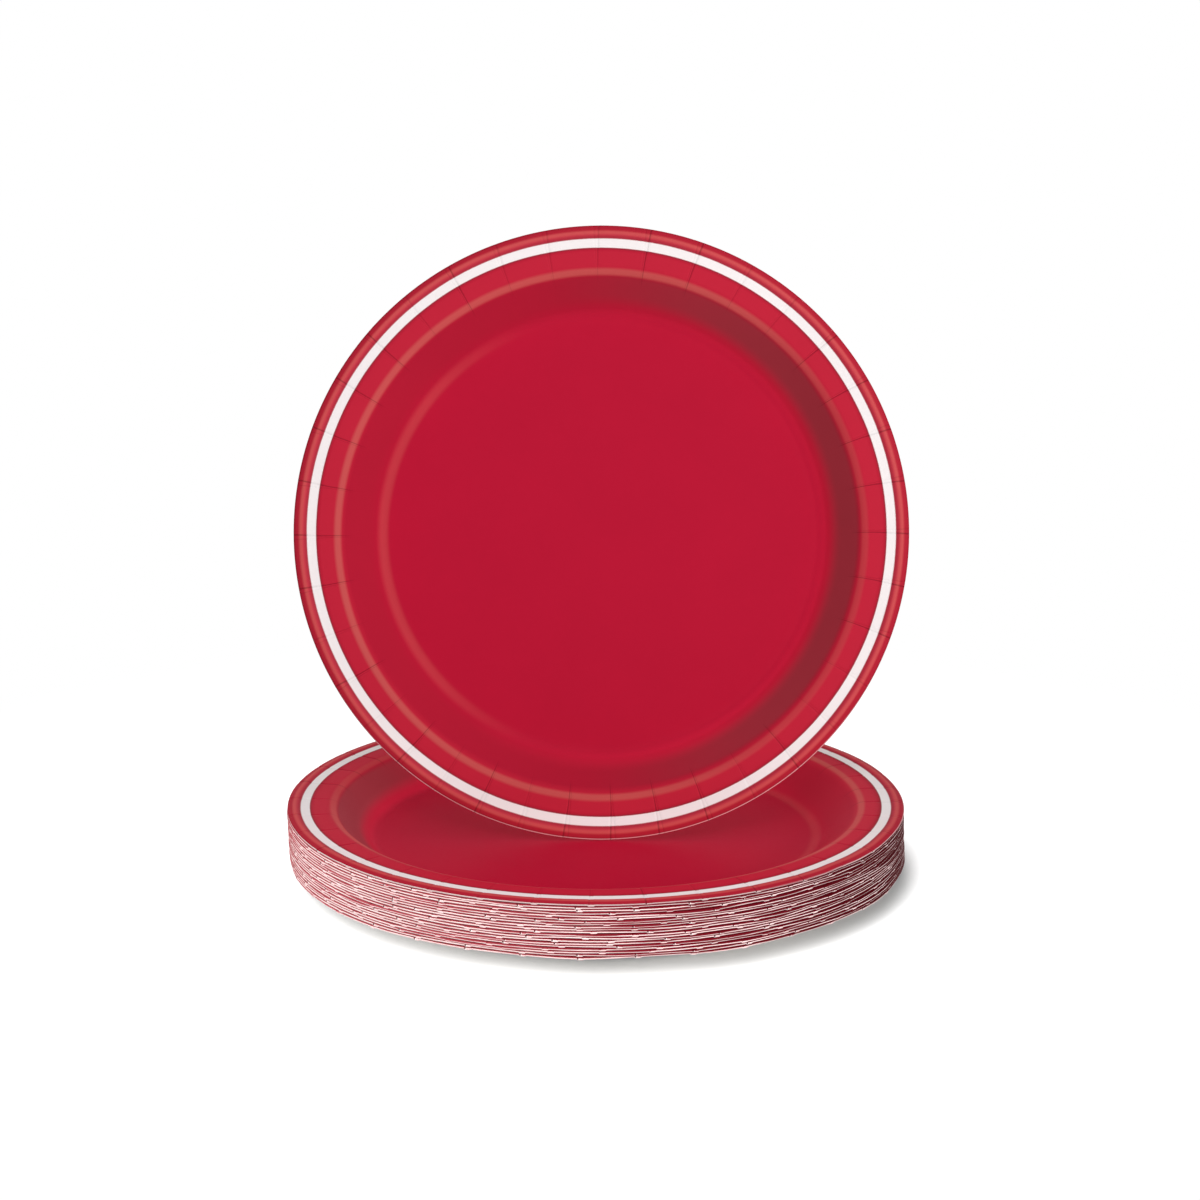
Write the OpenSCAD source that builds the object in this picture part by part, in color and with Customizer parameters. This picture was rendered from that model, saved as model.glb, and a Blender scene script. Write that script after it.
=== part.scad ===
// A stack of round pressed paper plates, with one more plate stood upright in the top one.
// Millimetres. The origin is under the middle of the stack, +Z is up and the front is -Y.

/* [Plate] */
// Diameter of a plate across its lip
plate_d = 222; // [180:1:260]
// Thickness of the board
board_t = 0.6; // [0.4:0.05:0.7]
// Slope of the wall
wall_a = 40; // [30:1:45]
// Length of the straight part of the wall
wall_l = 13.3; // [8:0.1:15]
// Radius of the bend between the floor and the wall
foot_r = 7.8; // [4:0.1:9]
// Radius of the bend between the wall and the flange
shoulder_r = 6.5; // [4:0.1:8]
// Width of the flat flange
flange_w = 9.1; // [4:0.1:10]

/* [Lip] */
// Slope up from the flange to the lip
rise_a = 20; // [10:1:30]
// Length of that slope
rise_l = 0.7; // [0.4:0.1:1]
// Radius of the groove between the flange and the lip
groove_r = 1; // [0.9:0.1:1.5]
// Radius over the top of the lip
crown_r = 2.6; // [1.5:0.1:3]
// Slope down to the cut edge
edge_a = 15; // [5:1:30]
// Length of that slope
edge_l = 2.2; // [1:0.1:3]

/* [Pleats] */
// Number of pleats round the rim
pleats = 37; // [12:1:48]
// Width of a pleat at the cut edge
pleat_w = 1.8; // [0.8:0.1:2.5]
// Depth of a pleat
pleat_depth = 0.2; // [0.1:0.05:0.3]
// Distance from the cut edge to where a pleat begins
pleat_l = 17.2; // [8:0.1:20]

/* [Stack] */
// Number of plates in the stack
stack_n = 20; // [2:1:40]
// Gap between the walls of nested plates
nest_gap = 0.15; // [0.15:0.01:0.4]
// Sideways slip of the lowest plate under the next one
slip = 0.08; // [0:0.01:0.1]
// Sway of each plate about its place
sway = 0.08; // [0:0.01:0.08]

/* [Standing plate] */
// How far the plate leans back from upright
lean = 18; // [5:1:30]
// Place of its lowest point to the right of the middle
foot_x = 2.1; // [-5:0.1:5]
// Place of its lowest point behind the middle
foot_y = -9.6; // [-20:0.1:10]
// Gap under its lowest point
foot_gap = 0.1; // [0.05:0.05:0.3]

/* [Hidden] */
function plate_name(i) = str("plate_", i < 10 ? "0" : "", i);
$fn = 180;
print_red = [0.72, 0.13, 0.22];
plate_r = plate_d / 2;
bend_step = 18;
past_edge = 1;

// The rim from the floor out. A straight is [length, 0] and a bend is
// [angle, radius of its underside], upward where the angle is positive.
rim = [
    [wall_a, foot_r],
    [wall_l, 0],
    [-wall_a, shoulder_r],
    [flange_w, 0],
    [rise_a, groove_r],
    [rise_l, 0],
    [-rise_a - edge_a, crown_r],
    [edge_l, 0]
];

// A point on the underside is [radius, height, heading].
function straight(at, l) = [[at[0] + l * cos(at[2]), at[1] + l * sin(at[2]), at[2]]];
function bend(at, a, r) = let (n = ceil(abs(a) / bend_step), side = sign(a)) [
    for (k = [1 : n]) let (h = at[2] + a * k / n) [
        at[0] + side * r * (sin(h) - sin(at[2])),
        at[1] + side * r * (cos(at[2]) - cos(h)),
        h
    ]
];
function last(list) = list[len(list) - 1];
function trace(steps, at, i = 0) = i == len(steps) ? [] :
    let (s = steps[i], points = s[1] == 0 ? straight(at, s[0]) : bend(at, s[0], s[1]))
    concat(points, trace(steps, last(points), i + 1));
function raised(p, h) = [p[0] - h * sin(p[2]), p[1] + h * cos(p[2])];

middle = [0, 0, 0];
rim_w = last(trace(rim, middle))[0] + board_t * sin(edge_a);
section = concat([middle], trace(concat([[plate_r - rim_w, 0]], rim), middle));
edge_z = last(section)[1];

// What lies between two heights above the underside.
module band(points, low, high) {
    polygon(concat(
        [for (p = points) raised(p, low)],
        [for (k = [len(points) - 1 : -1 : 0]) raised(points[k], high)]
    ));
}

// Pleats start a little before the first direction and drift slowly from even spacing.
// A term of the drift is [size, waves round the rim, place of a peak].
first_pleat = -2.4;
pleat_drift = [[3.3, 1, 21], [1.2, 2, 126], [0.6, 3, -82]];
function sum(list, i = 0) = i == len(list) ? 0 : list[i] + sum(list, i + 1);
function pleat_angle(k) = let (a = k * 360 / pleats)
    first_pleat + a + sum([for (d = pleat_drift) d[0] * cos(d[1] * a - d[2])]);

// A pleat runs from pleat_r past the cut edge. Within the stack only the slope beyond
// slope_r shows, so it is cut there alone.
pleat_r = plate_r - pleat_l;
slope_r = section[len(section) - 2][0];
function pleated(from) = let (points = [for (p = section) if (p[0] >= from) p])
    concat(points, straight(last(points), past_edge));

module pleat_plan() {
    reach = pleat_l + 2 * past_edge;
    half = pleat_w / 2 * reach / pleat_l;
    polygon([[pleat_r, 0], [pleat_r + reach, -half], [pleat_r + reach, half]]);
}

module pleat_groove(from) {
    intersection() {
        rotate([90, 0, 0])
            linear_extrude(2 * pleat_w, center = true)
                band(pleated(from), board_t - pleat_depth, (board_t + groove_r) / 2);
        linear_extrude(plate_r / 2) pleat_plan();
    }
}

module plate(pleats_from) {
    color(print_red)
        difference() {
            rotate_extrude() band(section, 0, board_t);
            for (k = [0 : pleats - 1])
                rotate(-pleat_angle(k)) pleat_groove(pleats_from);
        }
}

// Each nested plate is turned and shifted a little against the one below. The turns grow
// with the square of the count from the top, so the pleats of neighbours fall anyhow.
pitch = (board_t + nest_gap) / cos(wall_a);
top_turn = 139;
turn_step = 47;
sway_step = [77, 61];
module stacked_plate(i) {
    down = stack_n - i;
    slipped = slip * down * down / (2 * stack_n);
    swayed = [sway * sin(i * sway_step[0]), sway * cos(i * sway_step[1])];
    translate([slipped + swayed[0], swayed[1], (i - 1) * pitch])
        rotate(top_turn + turn_step * down * down)
            plate(down == 0 ? pleat_r - past_edge : slope_r);
}

module standing_plate() {
    floor_z = (stack_n - 1) * pitch + board_t;
    translate([foot_x, foot_y, floor_z + foot_gap])
        rotate([90 - lean, 0, 0])
            translate([0, plate_r, -edge_z])
                plate(pleat_r - past_edge);
}

for (i = [1 : stack_n])
    stacked_plate(i);
standing_plate();
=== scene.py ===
import math

import bpy
import numpy as np
from mathutils import Matrix, Vector


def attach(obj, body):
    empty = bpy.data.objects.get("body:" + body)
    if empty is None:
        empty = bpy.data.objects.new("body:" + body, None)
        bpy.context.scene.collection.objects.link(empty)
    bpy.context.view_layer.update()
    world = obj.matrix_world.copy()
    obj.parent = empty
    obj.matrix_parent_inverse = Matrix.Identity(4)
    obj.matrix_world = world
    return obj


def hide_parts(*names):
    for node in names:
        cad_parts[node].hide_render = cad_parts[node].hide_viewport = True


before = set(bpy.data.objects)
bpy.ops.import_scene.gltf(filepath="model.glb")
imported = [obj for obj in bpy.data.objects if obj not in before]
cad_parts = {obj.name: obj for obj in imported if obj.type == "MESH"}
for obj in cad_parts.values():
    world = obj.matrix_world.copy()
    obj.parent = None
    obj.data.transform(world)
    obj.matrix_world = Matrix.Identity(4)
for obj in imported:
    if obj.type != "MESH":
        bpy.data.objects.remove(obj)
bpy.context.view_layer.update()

camera = {  # fitted to the outlines of the rims
    "aim": (0.0016, 0.0, 0.1058),
    "distance": 1.3,
    "down": 14.93,  # degrees
    "lens": 109.77,
    "sensor": 36,
    "sight": 20,  # metres
}


def placeCamera(look):
    down = math.radians(look["down"])
    eye = bpy.data.objects.new("camera", bpy.data.cameras.new("camera"))
    eye.location = Vector(look["aim"]) + look["distance"] * Vector((0, -math.cos(down), math.sin(down)))
    eye.rotation_euler = (math.pi / 2 - down, 0, 0)
    eye.data.lens = look["lens"]
    eye.data.sensor_width = look["sensor"]
    eye.data.clip_end = look["sight"]
    bpy.context.scene.collection.objects.link(eye)
    bpy.context.scene.camera = eye


placeCamera(camera)
print("camera placed")


class Shade:  # one socket, which makes Math nodes when it is added, multiplied and so on
    def __init__(self, tree, socket=None):
        self.tree = tree
        self.socket = socket

    def node(self, kind, settings=None, values=None, out=0):
        made = self.tree.nodes.new(kind)
        for name, value in (settings or {}).items():
            if name == "stops":
                ramp = made.color_ramp.elements
                ramp.remove(ramp[1])
                ramp[0].position, ramp[0].color = value[0]
                for at, colour in value[1:]:
                    ramp.new(at).color = colour
            else:
                setattr(made, name, value)
        for name, value in (values or {}).items():
            if isinstance(value, Shade):
                self.tree.links.new(value.socket, made.inputs[name])
            else:
                made.inputs[name].default_value = value
        return Shade(self.tree, made.outputs[out]) if made.outputs else None

    def math(self, operation, first, second=0.0):
        return self.node("ShaderNodeMath", {"operation": operation}, {0: first, 1: second})

    def __add__(self, other):
        return self.math("ADD", self, other)

    def __radd__(self, other):
        return self.math("ADD", other, self)

    def __sub__(self, other):
        return self.math("SUBTRACT", self, other)

    def __rsub__(self, other):
        return self.math("SUBTRACT", other, self)

    def __mul__(self, other):
        return self.math("MULTIPLY", self, other)

    def __rmul__(self, other):
        return self.math("MULTIPLY", other, self)

    def rise(self, low, high):  # 0 below low, 1 above high and smooth between
        return self.node(
            "ShaderNodeMapRange",
            {"interpolation_type": "SMOOTHSTEP"},
            {"Value": self, "From Min": low, "From Max": high},
        )

    def band(self, a, b, c, d):  # 1 from b to c, and 0 before a and after d
        return self.rise(a, b) * (1 - self.rise(c, d))

    def mix(self, low, high):  # the colour low where this is 0, and high where it is 1
        return self.node("ShaderNodeMix", {"data_type": "RGBA"}, {0: self, 6: low, 7: high}, out=2)

    def scaled(self, factor):  # this vector or colour times a number
        return self.node("ShaderNodeVectorMath", {"operation": "SCALE"}, {"Vector": self, "Scale": factor})

    def stretched(self, factors):
        return self.node("ShaderNodeVectorMath", {"operation": "MULTIPLY"}, {0: self, 1: factors})

    def dot(self, other):
        return self.node("ShaderNodeVectorMath", {"operation": "DOT_PRODUCT"}, {0: self, 1: other}, "Value")

    def length(self):
        return self.node("ShaderNodeVectorMath", {"operation": "LENGTH"}, {0: self}, "Value")

    def noise(self, scale, detail, roughness=0.5):
        return self.node("ShaderNodeTexNoise", None, {
            "Vector": self, "Scale": scale, "Detail": detail, "Roughness": roughness,
        })

    def attribute(self, name, out="Fac"):
        return self.node("ShaderNodeAttribute", {"attribute_name": name}, out=out)


def rgb(red, green, blue):  # a colour as a picture shows it, as the light that Blender works in
    def light(c):
        return c / 255 / 12.92 if c <= 10 else ((c / 255 + 0.055) / 1.055) ** 2.4

    return (light(red), light(green), light(blue), 1)


def newMaterial(name):
    made = bpy.data.materials.new(name)
    made.use_nodes = True
    made.node_tree.nodes.clear()
    return made, Shade(made.node_tree)


def finishSurface(here, look, colour, roughness, height):
    strength, distance = look["bump"]
    bump = here.node("ShaderNodeBump", None, {"Strength": strength, "Distance": distance, "Height": height})
    surface = here.node("ShaderNodeBsdfPrincipled", None, {
        "Base Color": colour,
        "Roughness": roughness,
        "Normal": bump,
        "Specular IOR Level": look["gloss"],
    })
    here.node("ShaderNodeOutputMaterial", None, {"Surface": surface})


# In all finishes a noise is its scale, detail and roughness, and a bump its strength and its metres.
printing = {
    "radius": 0.111,
    "ringsFrom": 0.68,  # shares of the radius
    "rings": [
        (0.680, rgb(184, 22, 52)),
        (0.712, rgb(184, 24, 53)),
        # painted shade: the wall a little darker than the floor
        (0.760, rgb(176, 28, 52)),
        (0.830, rgb(176, 28, 52)),
        (0.850, rgb(188, 34, 56)),
        (0.875, rgb(193, 36, 58)),
        (0.912, rgb(192, 36, 58)),
        (0.9195, rgb(184, 30, 53)),
        (0.9225, rgb(158, 40, 56)),
        (0.9250, rgb(158, 40, 56)),
        (0.9275, rgb(246, 238, 238)),
        (0.9545, rgb(246, 238, 238)),
        # painted shade in the groove beside the stripe
        (0.9570, rgb(170, 52, 66)),
        (0.9620, rgb(176, 46, 62)),
        # painted highlight on the lip's crown
        (0.9670, rgb(194, 56, 70)),
        (0.9720, rgb(204, 76, 80)),
        (0.9780, rgb(206, 80, 82)),
        # painted shade where the lip turns down at its edge
        (0.9850, rgb(182, 36, 54)),
        (0.9920, rgb(177, 35, 53)),
        (1.0000, rgb(164, 36, 52)),
    ],
    "unevenness": (90, 1),  # the rings aren't quite true
    "unevenBy": 0.00012,
    "side": (1, -0.2, 0),  # the plate's right, as it stands upright, and a little down
    "shoulderHighlight": rgb(196, 79, 79),  # painted highlight on the shoulder's bend, weaker to the side
    "shoulderBand": (0.840, 0.851, 0.860, 0.873),
    "shoulderShift": 0.009,  # further in at the top and further out at the bottom
    "shoulderFades": 0.6,  # to the side
    "shoulderFadesFrom": (0.2, 0.8),
    # painted highlight on the bend at the wall's foot
    "foot": rgb(192, 56, 66),
    "footBand": (0.690, 0.708, 0.718, 0.740),
    "wallShade": rgb(161, 51, 63),
    "wallBand": (0.740, 0.785, 0.825, 0.845),
    # painted light: the bend at the wall's foot made lighter towards the plate's right
    "bendBand": (0.708, 0.738, 0.745, 0.785),
    "bendSide": (-0.5, 0.7),
    "bendPaintedLight": 0.33,
    # painted highlight on the nested plates' lip crowns, stronger on one side
    "worn": rgb(178, 84, 88),
    # painted highlight: a thin pale line along the print's outer edge, where it catches the light
    "rimHighlight": rgb(240, 176, 182),
    "rimHighlightFrom": (0.9955, 0.9975),
    "stripe": (0.924, 0.928, 0.954, 0.958),
    "crease": 0.38,  # share of the colour that painted shade in a crease takes away
    "creaseSpares": 0.7,  # how much less of that on the white stripe
    "gloom": 0.88,  # the same two for the painted shade in the gaps between plates
    "gloomSpares": 0.8,
    "cloud": (35, 3),
    "grain": (900, 3, 0.6),
    "wear": (240, 4, 0.7),
    "tone": (0.955, 0.09, 0.03),  # everywhere, and more by the clouds and by the wear
    "roughness": 0.50,
    "roughnessVaries": 0.12,
    "bump": (0.25, 0.00002),
    "gloss": 0.02,
}


def printedFace(look):
    made, here = newMaterial("redPrint")
    point = here.attribute("ownPlace", "Vector")
    uneven = (point.noise(*look["unevenness"]) - 0.5) * look["unevenBy"]
    share = (point.stretched((1, 1, 0)).length() + uneven) * (1 / look["radius"])
    first = look["ringsFrom"]
    stops = [((at - first) / (1 - first), colour) for at, colour in look["rings"]]
    rings = here.node("ShaderNodeValToRGB", {"stops": stops}, {"Fac": (share - first) * (1 / (1 - first))})

    toSide = point.dot(look["side"]) * (1 / look["radius"])
    up = point.dot((0, 1, 0)) * (1 / look["radius"])
    shoulderFade = look["shoulderFades"] * toSide.rise(*look["shoulderFadesFrom"])
    shoulderHighlight = (share + up * look["shoulderShift"]).band(*look["shoulderBand"]) * (1 - shoulderFade)
    foot = share.band(*look["footBand"]) * here.attribute("footLine")
    wall = share.band(*look["wallBand"]) * here.attribute("wallShade")
    bend = share.band(*look["bendBand"]) * toSide.rise(*look["bendSide"])
    colour = wall.mix(rings, look["wallShade"])
    colour = shoulderHighlight.mix(colour, look["shoulderHighlight"])
    colour = foot.mix(colour, look["foot"]).scaled(1 + look["bendPaintedLight"] * bend)
    colour = here.attribute("worn").mix(colour, look["worn"])
    colour = (here.attribute("rub") * share.rise(*look["rimHighlightFrom"])).mix(colour, look["rimHighlight"])

    onStripe = share.band(*look["stripe"])
    crease = here.attribute("crease") * look["crease"] * (1 - look["creaseSpares"] * onStripe)
    gloom = here.attribute("gloom") * look["gloom"] * (1 - look["gloomSpares"] * onStripe)
    even, byCloud, byWear = look["tone"]
    tone = even + byCloud * point.noise(*look["cloud"]) + byWear * point.noise(*look["wear"])
    grain = point.noise(*look["grain"])
    roughness = look["roughness"] + (grain - 0.5) * look["roughnessVaries"]
    finishSurface(here, look, colour.scaled((1 - crease) * (1 - gloom) * tone), roughness, grain)
    return made


backs = {
    "white": rgb(226, 221, 212),
    "dull": rgb(206, 198, 186),
    "fibres": (700, 5, 0.7),
    "fibresDull": (0.35, 0.7, 0.5),  # from, to and at most
    "cloud": (120, 3, 0.6),
    "cloudDull": (0.4, 0.65, 0.4),
    # painted shade along the creases
    "crease": 0.35,
    "roughness": 0.82,
    "roughnessVaries": 0.1,
    "bump": (0.4, 0.00004),
    "gloss": 0.3,
}


def bareBoard(look):
    made, here = newMaterial("bareBoard")
    point = here.attribute("ownPlace", "Vector")
    fibres = point.noise(*look["fibres"])
    cloud = point.noise(*look["cloud"])
    *fibresFrom, byFibres = look["fibresDull"]
    *cloudFrom, byCloud = look["cloudDull"]
    dull = fibres.rise(*fibresFrom) * byFibres + cloud.rise(*cloudFrom) * byCloud
    colour = dull.mix(look["white"], look["dull"]).scaled(1 - look["crease"] * here.attribute("crease"))
    roughness = look["roughness"] + (fibres - 0.5) * look["roughnessVaries"]
    finishSurface(here, look, colour, roughness, fibres)
    return made


edges = {
    "bare": rgb(250, 222, 221),
    "dull": rgb(226, 191, 190),
    "layers": (50, 4, 0.65),
    "layersFlat": 45,  # long and thin, as the board's layers are
    "layersDull": (0.38, 0.66),
    "ink": rgb(176, 44, 66),
    "inkCovers": 0.9,
    "patches": (26, 3, 0.55),
    "inkPatches": (0.48, 0.70),
    "inkReach": 0.6,  # how much lower the ink comes down in a patch, in heights of the edge
    "inkHeight": (0.94, 1.14),
    "shade": rgb(92, 20, 26),  # in patches, where the next plate lies close
    "shadeGloom": (0.2, 0.7),
    "shadePatches": (0.45, 0.55),
    "dot": rgb(52, 10, 16),  # painted shade in the notch where a pleat ends
    "dotCrease": (0.35, 0.65),
    "dotHeight": (0.30, 0.55),
    "hook": rgb(255, 246, 244),  # the bare corner beside a pleat, with a painted highlight on it
    "hookFrom": (0.45, 0.95),
    "fibres": (1500, 3, 0.6),
    "roughness": 0.8,
    "bump": (0.5, 0.00005),
    "gloss": 0.3,
}


def cutEdge(look):
    made, here = newMaterial("cutEdge")
    point = here.attribute("ownPlace", "Vector")
    height = here.attribute("edgeHeight")
    patches = point.noise(*look["patches"])
    layers = point.stretched((1, 1, look["layersFlat"])).noise(*look["layers"])
    colour = layers.rise(*look["layersDull"]).mix(look["bare"], look["dull"])
    ink = (height + patches.rise(*look["inkPatches"]) * look["inkReach"]).rise(*look["inkHeight"])
    colour = (ink * look["inkCovers"]).mix(colour, look["ink"])
    shade = here.attribute("gloom").rise(*look["shadeGloom"]) * patches.rise(*look["shadePatches"])
    colour = shade.mix(colour, look["shade"])
    dots = here.attribute("crease").rise(*look["dotCrease"]) * height.rise(*look["dotHeight"])
    colour = dots.mix(colour, look["dot"])
    colour = here.attribute("hook").rise(*look["hookFrom"]).mix(colour, look["hook"])
    finishSurface(here, look, colour, look["roughness"], point.noise(*look["fibres"]))
    return made


finishes = [printedFace(printing), cutEdge(edges), bareBoard(backs)]
print("finishes made")

# Lengths of the plates are in millimetres, and the meshes turn them into metres.
plate = {
    "radius": 111.0,
    "board": 0.6,
    "rim": [  # from the floor out: a bend is its angle and radius, a straight its length
        ("bend", 40, 7.8),
        ("straight", 13.3),
        ("bend", -40, 6.5),
        ("straight", 9.1),
        ("bend", 20, 1.0),
        ("straight", 0.7),
        ("bend", -35, 2.6),
        ("straight", 2.2),
    ],
    "lipFrom": 4,  # the rim's bends and straights from here on are the lip, which shows in every plate
    "lipStraight": 1.1,
    "cut": [  # down the cut edge: share of its height, and how far out
        (0.0, 0.0),
        (0.05, 0.03),
        (0.18, 0.05),
        (0.5, 0.06),
        (0.82, 0.05),
        (0.95, 0.03),
        (1.0, 0.0),
    ],
    "cutBack": 0.065,  # so that what stands out stays within the plate's radius
    "pleats": 37,
    "firstPleat": 2.4,  # degrees
    "drift": [(3.3, 1, 21), (1.2, 2, 126), (0.6, 3, -82)],  # degrees, waves round the rim, place of a peak
    "pleatStart": 93.8,
    "pleatWidth": 1.8,
    "pleatLeast": 0.30,  # half of its width where it starts
    "pleatDeepens": 5.0,
    "narrowWithin": 90,  # inside this radius the pleats' lines draw together
    "creaseDrop": 0.12,
    "creaseWidth": 0.34,
    "creaseFull": 0.5,  # half width from which a pleat has full creases
    "creaseDark": (-4.0, 1.0),  # where the painted crease shade comes in, past the pleat's start
    "folds": [  # across a pleat: half widths, crease widths, share of the drop, darkness of the painted crease shade, hook
        (-1, -2.8, 0.0, 0.0, 0),
        (-1, -1.1, 0.0, 0.0, 0),
        (-1, -0.3, 1.0, 1.0, 0),
        (-1, 0.5, 0.9, 0.9, 0),
        (-1, 1.2, 0.45, 0.0, 1),
        (-1, 2.2, 0.45, 0.0, 0),
        (1, -0.6, 0.45, 0.0, 0),
        (1, 0.0, 0.9, 0.5, 0),
        (1, 1.0, 0.0, 0.0, 0),
        (1, 2.8, 0.0, 0.0, 0),
    ],
    "plainFolds": 0.55,  # share of the pleats that show little
    "plainShows": 0.4,
    "edgeDip": 0.3,
    "liftAt": (101.0, 110.5),  # radii where the rim begins to follow a wave, and where it does so in full
    "dipAt": (107.5, 110.5),
    "pinchAt": (109.0, 110.8),
    "pullAt": (104.0, 111.0),
    "waves": range(2, 24),  # round the rim
    "wavesFade": 0.6,  # how much lower the short ones are
    "stepWidth": 0.02,  # radians to each side of a pleat
}


def traceRim(look, start, steps):  # rows of radius, height and heading
    r, z, heading = start, 0.0, 0.0
    points = [(r, z, heading)]
    for number, (kind, *size) in enumerate(look["rim"]):
        onLip = number >= look["lipFrom"]
        if kind == "straight":
            longest = min(steps["straight"], look["lipStraight"]) if onLip else steps["straight"]
            parts = max(1, round(size[0] / longest))
            for k in range(parts):
                r += size[0] / parts * math.cos(heading)
                z += size[0] / parts * math.sin(heading)
                points.append((r, z, heading))
            continue
        parts = max(1, round(abs(size[0]) / steps["lip" if onLip else "bend"]))
        turn, side = math.radians(size[0]) / parts, math.copysign(1, size[0])
        for k in range(parts):
            after = heading + turn
            r += side * size[1] * (math.sin(after) - math.sin(heading))
            z += side * size[1] * (math.cos(heading) - math.cos(after))
            heading = after
            points.append((r, z, heading))
    return np.array(points)


plainSteps = dict(bend=5.0, straight=5.0, lip=5.0)  # degrees, millimetres and degrees


def findSection(look, steps):  # the rim's underside, set so that the plate has its radius
    edge = traceRim(look, 0.0, plainSteps)[-1]
    start = look["radius"] - look["board"] * math.sin(-edge[2]) - edge[0]
    return traceRim(look, start, steps)


def smooth(x, low, high):
    t = np.clip((x - low) / (high - low), 0, 1)
    return t * t * (3 - 2 * t)


def pleatAngles(look):
    spaced = np.arange(look["pleats"]) * 360 / look["pleats"]
    drift = sum(size * np.cos(np.radians(waves * spaced - peak)) for size, waves, peak in look["drift"])
    return np.sort(np.radians(-(spaced + drift - look["firstPleat"])) % (2 * math.pi))


dice = np.random.default_rng(7)


def wavyLine(size, look=plate):  # a smooth closed line round the rim, of long and short waves
    fade = look["wavesFade"]
    waves = [(k, dice.normal() / k**fade, dice.uniform(0, 2 * math.pi)) for k in look["waves"]]
    whole = math.sqrt(sum(a * a for k, a, p in waves) / 2)
    return lambda angle: sum(a * np.cos(k * angle + p) for k, a, p in waves) * size / whole / 2


def steppedLine(size, look=plate):  # each stretch between two pleats lies at its own height
    ends, heights = pleatAngles(look), dice.uniform(-size, size, look["pleats"] + 1)
    heights[-1] = heights[0]
    before, after = (ends - look["stepWidth"])[:, None, None], (ends + look["stepWidth"])[:, None, None]

    def at(angle):
        angle = np.mod(angle, 2 * math.pi)
        steps = np.diff(heights)[:, None, None]
        return heights[0] + (steps * smooth(angle[None], before, after)).sum(axis=0)

    return at


def outlineOf(look, detail):  # radius and height: over the face, down the cut edge and back underneath
    section = findSection(look, detail["steps"])
    normal = np.stack([-np.sin(section[:, 2]), np.cos(section[:, 2])], 1)
    under, face = section[:, :2].copy(), section[:, :2] + normal * look["board"]
    rings = np.array([(r, 0.0) for r in detail["floorRings"]])
    out = np.array([math.cos(section[-1, 2]), math.sin(section[-1, 2])])
    down, proud = (column[:, None] for column in np.array(look["cut"]).T)
    cut = face[-1] * (1 - down) + under[-1] * down + out * (proud - look["cutBack"])
    face[-1], under[-1] = cut[0], cut[-1]
    outline = np.concatenate([rings + (0, look["board"]), face, cut[1:-1], under[::-1], rings[::-1]])
    faceCount = len(rings) + len(face)
    below = np.concatenate([np.zeros((faceCount, 1)), down[1:-1], np.ones((faceCount, 1))])
    return outline, below, faceCount


def spokesOf(look, r, between):  # angle, share of the drop, darkness, hook, and whether it is in a pleat
    centres = pleatAngles(look)
    gaps = np.diff(np.append(centres, centres[0] + 2 * math.pi))
    reach = look["radius"] - look["pleatStart"]
    half = np.maximum(look["pleatLeast"], look["pleatWidth"] / 2 * (r - look["pleatStart"]) / reach)
    narrow = np.minimum(1, r / look["narrowWithin"])
    width = look["creaseWidth"] * np.minimum(1, half / look["creaseFull"]) * narrow
    half = half * narrow
    shown = np.where(dice.random(look["pleats"]) < look["plainFolds"], look["plainShows"], 1.0)
    spokes = []
    for centre, gap, share in zip(centres, gaps, shown):
        for side, widths, drop, dark, hook in look["folds"]:
            at = centre + (side * half + widths * width) / r
            spokes.append((at, drop, dark * share, hook * share, drop > 0))
        start = spokes[-1][0]
        end = centre + gap + (look["folds"][0][1] * width - half) / r
        for k in range(between):
            spokes.append((start + (end - start) * (k + 1) / (between + 1), 0, 0, 0, 0))
    angles = np.concatenate([spoke[0] for spoke in spokes], axis=1)
    return angles, *(np.array([[spoke[k] for spoke in spokes]], float) for k in (1, 2, 3, 4))


def facesOf(rows, columns, faceCount, edgeCount):  # with the number of each face's finish
    faces, kinds = [], []
    for row in range(rows - 1):
        kind = 0 if row < faceCount - 1 else 1 if row < faceCount - 1 + edgeCount else 2
        a = row * columns + np.arange(columns)
        b = row * columns + (np.arange(columns) + 1) % columns
        faces += np.stack([a, a + columns, b + columns, b], 1).tolist()
        kinds += [kind] * columns
    last = (rows - 1) * columns
    for k in range(columns):
        after = (k + 1) % columns
        faces.append([rows * columns, k, after])
        faces.append([rows * columns + 1, last + after, last + k])
        kinds += [0, 2]
    return faces, kinds


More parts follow.
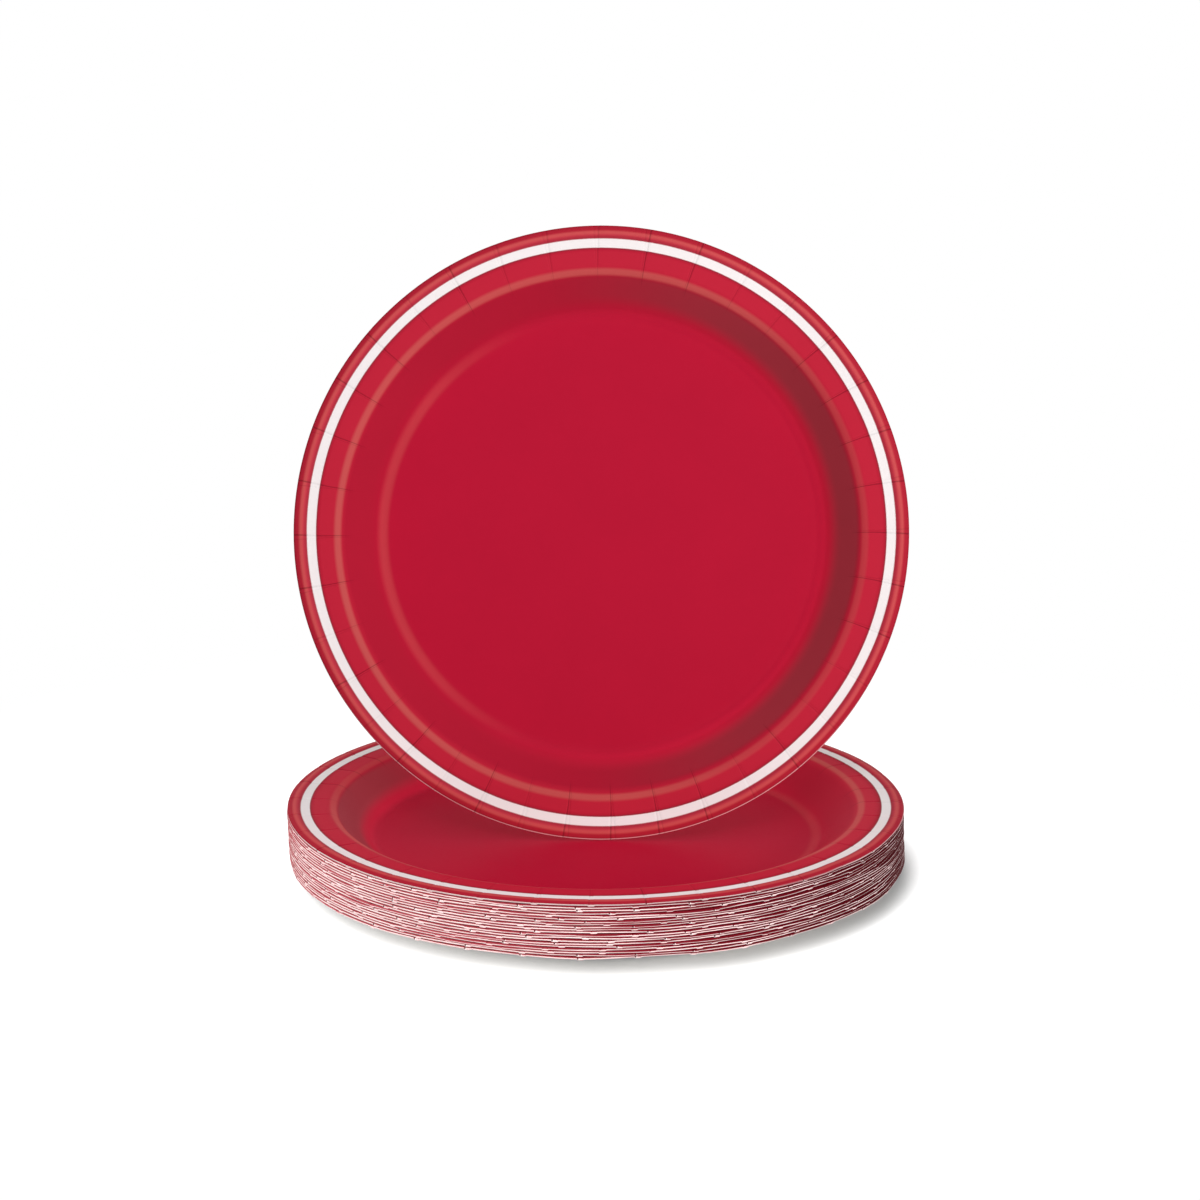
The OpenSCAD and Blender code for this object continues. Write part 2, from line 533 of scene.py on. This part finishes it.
def plateMesh(name, look, grainPlace, moves, marks, detail):
    # moves say how far the lip is raised, drawn in, folded down and pinched at an angle on the plate
    outline, below, faceCount = outlineOf(look, detail)
    r, z = outline[:, 0:1], outline[:, 1:2]
    angles, sinks, darks, hooks, folded = spokesOf(look, r, detail["between"])
    deep = smooth(r, look["pleatStart"], look["pleatStart"] + look["pleatDeepens"])
    fold = (1 - below) * sinks * look["creaseDrop"] * deep
    fold = fold + below * folded * moves["dip"](angles) * smooth(r, *look["dipAt"])
    height = z - fold + moves["lift"](angles) * smooth(r, *look["liftAt"])
    height = height + (2 * below - 1) * moves["pinch"](angles) * smooth(r, *look["pinchAt"])
    radius = r - moves["pull"](angles) * smooth(r, *look["pullAt"])
    x, y = radius * np.cos(angles), radius * np.sin(angles)
    points = np.stack([x, y, np.broadcast_to(height, x.shape)], 2).reshape(-1, 3)
    points = np.vstack([points, [0, 0, look["board"]], [0, 0, 0]]) / 1000

    faces, kinds = facesOf(*x.shape, faceCount, len(look["cut"]) - 1)
    mesh = bpy.data.meshes.new(name)
    mesh.from_pydata(points.tolist(), [], faces)
    for finish in finishes:
        mesh.materials.append(finish)
    mesh.polygons.foreach_set("material_index", kinds)
    mesh.polygons.foreach_set("use_smooth", [True] * len(faces))

    darkFrom, darkTo = (look["pleatStart"] + past for past in look["creaseDark"])
    shades = {"crease": darks * smooth(r, darkFrom, darkTo), "hook": hooks * deep, "edgeHeight": 1 - below}
    shades.update({title: mark(angles, r) * (1 - below) for title, mark in marks.items()})
    for title, values in shades.items():
        levels = np.zeros(len(points), np.float32)
        levels[:-2] = (values * np.ones_like(x)).reshape(-1)
        mesh.attributes.new(title, "FLOAT", "POINT").data.foreach_set("value", levels)
    own = mesh.attributes.new("ownPlace", "FLOAT_VECTOR", "POINT")
    own.data.foreach_set("vector", (points + (0, 0, grainPlace)).astype(np.float32).ravel())
    return mesh


def sideMark(setting, turn=0.0):  # strength, way in degrees, and where it begins and where it is full
    most, way, low, high = setting
    return lambda angle, r: most * smooth(np.cos(angle + turn - math.radians(way)), low, high)


def addPlate(node, mesh, place):
    mesh.transform(place)
    made = bpy.data.objects.new(node + "_board", mesh)
    bpy.context.scene.collection.objects.link(made)
    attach(made, "root")
    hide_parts(node)
    return made


wholeDetail = dict(between=5, floorRings=[12, 30, 48, 62, 71], steps=dict(bend=3.5, straight=3.5, lip=4))
edgeDetail = dict(between=2, floorRings=[40], steps=dict(bend=20, straight=20, lip=12))

stack = {  # three numbers for a side: everywhere, more on one side, and the way to that side in degrees
    "count": 20,
    "gap": 0.15,
    "leastGap": 0.10,
    "slip": 0.08,  # to the side between the lowest two, and less and less further up
    "sway": 0.08,
    "swayTurns": (77, 61),  # degrees from plate to plate, along and across
    "topTurn": 139,
    "turnStep": 47,
    "waves": (0.26, 0.85, -10),  # the first is their size
    "topWaves": 0.1,
    "steps": 0.08,
    "pull": 0.12,
    "dipKeeps": 0.03,  # room that is left under a folded edge
    "pinch": (0.035, 0.08, -15),
    "gloom": (0.58, 0.38, 4),  # painted shade in the gaps between plates, darker to the right
    "gloomAt": (107.0, 109.5),
    # painted shade on the top plate's flange, darker towards the front right and less further out
    "topGloom": (0.15, 0.09, -35),
    "topGloomAt": (100.5, 103.0),
    "topGloomEases": (106.0, 107.5),
    "topGloomEasesBy": 0.6,
    "worn": (0.75, 180, -0.3, 0.7),  # a painted highlight on the nested lips' crowns; this and the marks are as sideMark takes them
    "lipHighlightAt": (106.0, 108.0),
    # painted light on the top plate: a highlight at the foot's bend, shade on the wall and a highlight
    # along the rim
    "topMarks": {
        "footLine": (0.6, -40, -0.4, 0.4),
        "wallShade": (1.3, 210, 0.0, 0.8),
        "rub": (0.8, 0, 0.3, 0.8),
    },
    "grainStep": 0.3,  # metres, so that no two plates have the same grain
}

bends = [size[0] for kind, *size in plate["rim"] if kind == "bend"]
pitch = (plate["board"] + stack["gap"]) / math.cos(math.radians(bends[0]))
lipGap = pitch - plate["board"] / math.cos(math.radians(sum(bends)))  # between two lips that lie level

ownLift = [wavyLine(stack["waves"][0]) for i in range(1, stack["count"])] + [wavyLine(stack["topWaves"])]
ownSteps = [steppedLine(stack["steps"]) for i in range(1, stack["count"])] + [steppedLine(0.0)]
ownPull = [wavyLine(stack["pull"]) for i in range(stack["count"])]


def turnOf(i):
    return math.radians(stack["topTurn"] + stack["turnStep"] * (stack["count"] - i) ** 2)


def liftsTo(i, angle):  # heights of the lips 1 to i at an angle, each kept off the one below
    raised = []
    size, more, side = stack["waves"]
    swing = 1 + more * np.cos(angle - math.radians(side))
    for k in range(1, i + 1):
        own = (ownLift[k - 1](angle) + ownSteps[k - 1](angle - turnOf(k))) * swing
        raised.append(own if k == 1 else np.maximum(own, raised[-1] - lipGap + stack["leastGap"]))
    return raised


def nestedPlate(i):
    covered, turn = i < stack["count"], turnOf(i)

    def oneSided(angle, setting):
        everywhere, more, side = setting
        return everywhere + more * np.cos(angle + turn - math.radians(side))

    def dip(angle):
        raised = liftsTo(i, angle + turn)
        room = lipGap + raised[-1] - raised[-2] if i > 1 else lipGap + 0 * angle
        return np.clip(room - stack["dipKeeps"], 0, plate["edgeDip"])

    moves = {
        "lift": lambda angle: liftsTo(i, angle + turn)[-1],
        "pull": lambda angle: stack["pull"] + ownPull[i - 1](angle),
        "dip": dip,
        "pinch": lambda angle: oneSided(angle, stack["pinch"]),
    }

    def gloom(angle, r):
        return oneSided(angle, stack["gloom"]) * smooth(r, *stack["gloomAt"])

    def topGloom(angle, r):
        eased = 1 - stack["topGloomEasesBy"] * smooth(r, *stack["topGloomEases"])
        return oneSided(angle, stack["topGloom"]) * smooth(r, *stack["topGloomAt"]) * eased

    def worn(angle, r):
        return sideMark(stack["worn"], turn)(angle, r) * smooth(r, *stack["lipHighlightAt"])

    if covered:
        marks = {"gloom": gloom, "worn": worn}
    else:
        marks = {title: sideMark(setting, turn) for title, setting in stack["topMarks"].items()}
        marks["gloom"] = topGloom

    down, node = stack["count"] - i, f"plate_{i:02d}"
    along, across = (math.radians(i * step) for step in stack["swayTurns"])
    slipped = stack["slip"] * down**2 / (2 * stack["count"]) + stack["sway"] * math.sin(along)
    place = Matrix.Translation(Vector((slipped, stack["sway"] * math.cos(across), (i - 1) * pitch)) / 1000)
    detail = edgeDetail if covered else wholeDetail
    mesh = plateMesh(node, plate, i * stack["grainStep"], moves, marks, detail)
    return addPlate(node, mesh, place @ Matrix.Rotation(turn, 4, "Z"))


nested = [nestedPlate(i) for i in range(1, stack["count"] + 1)]
print("stack built")

standing = {
    "lean": 18,
    "foot": (2.1, -9.6),
    "footGap": 0.1,
    "waves": 0.05,
    "pull": 0.05,
    "dip": 0.2,
    # painted light on the standing plate: a highlight along the rim, a highlight at the foot's bend and
    # shade on the wall
    "marks": {
        "rub": (1, -90, 0.45, 0.85),
        "footLine": (0.85, 180, 0.3, 0.9),
        "wallShade": (1, 5.73, -0.25, 0.75),
    },
}


def uprightPlate(look):
    floorTop = (stack["count"] - 1) * pitch + plate["board"]
    edgeHeight = findSection(plate, plainSteps)[-1, 1]
    foot = Matrix.Translation(Vector((*look["foot"], floorTop + look["footGap"])) / 1000)
    lean = Matrix.Rotation(math.radians(90 - look["lean"]), 4, "X")
    ontoEdge = Matrix.Translation(Vector((0, plate["radius"], -edgeHeight)) / 1000)
    moves = {
        "lift": wavyLine(look["waves"]),
        "pull": lambda angle: look["pull"] + 0 * angle,
        "dip": lambda angle: look["dip"] + 0 * angle,
        "pinch": lambda angle: 0 * angle,
    }
    marks = {title: sideMark(setting) for title, setting in look["marks"].items()}
    mesh = plateMesh("standing_plate", plate, 0, moves, marks, wholeDetail)
    return addPlate("standing_plate", mesh, foot @ lean @ ontoEdge)


upright = uprightPlate(standing)
print("standing plate built")

studio = {
    "floor": 0.80,
    "bounce": 0.30,  # what the floor sends back to the plates
    "floorGlow": 0.22,
    "floorReach": 8,  # metres from the middle to each side
    "floorDrop": 0.0001,
    "white": (0.19, 0.342),  # metres from the middle, past the object's shadow
    "world": 0.13,
}


def seenRays(here):  # what the camera sees, also in metal and through glass
    def isRay(kind):
        return here.node("ShaderNodeLightPath", out=f"Is {kind} Ray")

    return isRay("Camera") + isRay("Glossy") + isRay("Transmission")


def grey(level):
    return (level, level, level, 1)


def addFloor(look):
    made, here = newMaterial("paleFloor")
    fromMiddle = here.node("ShaderNodeTexCoord", out="Object").length()
    pale = here.node("ShaderNodeBsdfDiffuse", None, {"Color": grey(look["floor"])})
    glow = here.node("ShaderNodeEmission", None, {"Strength": look["floorGlow"]})
    near = here.node("ShaderNodeAddShader", None, {0: pale, 1: glow})
    white = here.node("ShaderNodeEmission", None, {"Strength": 1.0})
    seen = here.node("ShaderNodeMixShader", None, {0: fromMiddle.rise(*look["white"]), 1: near, 2: white})
    bounce = here.node("ShaderNodeBsdfDiffuse", None, {"Color": grey(look["bounce"])})
    both = here.node("ShaderNodeMixShader", None, {0: seenRays(here), 1: bounce, 2: seen})
    here.node("ShaderNodeOutputMaterial", None, {"Surface": both})

    reach = look["floorReach"]
    corners = [(-reach, -reach, 0), (reach, -reach, 0), (reach, reach, 0), (-reach, reach, 0)]
    mesh = bpy.data.meshes.new("floor")
    mesh.from_pydata(corners, [], [(0, 1, 2, 3)])
    mesh.materials.append(made)
    floor = bpy.data.objects.new("floor", mesh)
    floor.location.z = -look["floorDrop"]
    bpy.context.scene.collection.objects.link(floor)
    return floor


def lightWorld(look):
    world = bpy.data.worlds.new("studio")
    world.use_nodes = True
    world.node_tree.nodes.clear()
    here = Shade(world.node_tree)
    soft = here.node("ShaderNodeBackground", None, {"Color": grey(1), "Strength": look["world"]})
    white = here.node("ShaderNodeBackground", None, {"Color": grey(1), "Strength": 1.0})
    both = here.node("ShaderNodeMixShader", None, {0: seenRays(here), 1: soft, 2: white})
    here.node("ShaderNodeOutputWorld", None, {"Surface": both})
    bpy.context.scene.world = world


floor = addFloor(studio)
lightWorld(studio)

high, low, ground = (0, 0.03, 0.13), (0, 0, 0.02), (0, 0, 0)
lamps = {  # degrees to the right and up, metres, watts, where it aims, what it lights and what shadows that
    "dishLight": dict(turn=29, up=29, away=2.2, size=0.73, watts=39.5, aim=high, on="dish", by="dish"),
    "backLight": dict(turn=160, up=24, away=1.5, size=0.8, watts=20, aim=high, on="dish", by="dish"),
    "backSide": dict(turn=165, up=20, away=1.5, size=0.5, watts=9, aim=low, on="covered", by="stack"),
    "sideLight": dict(turn=-80, up=4, away=1.3, size=0.35, watts=4.8, aim=low, on="stack", by="stack"),
    "rightLight": dict(turn=45, up=14, away=1.3, size=0.3, watts=12.2, aim=low, on="covered", by="stack"),
    "skyLight": dict(turn=-30, up=38, away=1.6, size=0.5, watts=23, aim=low, on="covered", by="stack"),
    "topRight": dict(turn=40, up=18, away=1.3, size=0.3, watts=5.0, aim=low, on="top", by="stack"),
    "topLight": dict(turn=-30, up=38, away=1.6, size=0.5, watts=2.8, aim=low, on="top", by="stack"),
    "topFront": dict(turn=-5, up=44, away=1.6, size=0.7, watts=5.6, aim=low, on="top", by="all"),
    "overLight": dict(turn=180, up=88, away=1.0, size=1.4, watts=4.8, aim=low, on="top", by="all"),
    "floorLight": dict(turn=-12, up=31, away=1.6, size=0.8, watts=72, aim=ground, on="floor", by="lowest"),
}


def addLamp(name, look, groups):
    turn, up = math.radians(look["turn"]), math.radians(look["up"])
    back = Vector((math.sin(turn) * math.cos(up), -math.cos(turn) * math.cos(up), math.sin(up)))
    lamp = bpy.data.objects.new(name, bpy.data.lights.new(name, "AREA"))
    lamp.data.energy = look["watts"]
    lamp.data.shape = "DISK"
    lamp.data.size = look["size"]
    lamp.location = Vector(look["aim"]) + back * look["away"]
    lamp.rotation_euler = back.to_track_quat("Z", "Y").to_euler()
    bpy.context.scene.collection.objects.link(lamp)
    lamp.light_linking.receiver_collection = groups[look["on"]]
    lamp.light_linking.blocker_collection = groups[look["by"]]


members = {
    "dish": [upright],
    "stack": nested,
    "covered": nested[:-1],
    "top": nested[-1:],
    "all": nested + [upright],
    "lowest": nested[:3],
    "floor": [floor],
}
groups = {}
for name, pieces in members.items():
    groups[name] = bpy.data.collections.new(name)
    for piece in pieces:
        groups[name].objects.link(piece)
for name, look in lamps.items():
    addLamp(name, look, groups)
bpy.context.scene.view_settings.view_transform = "Standard"
print("lamps set")
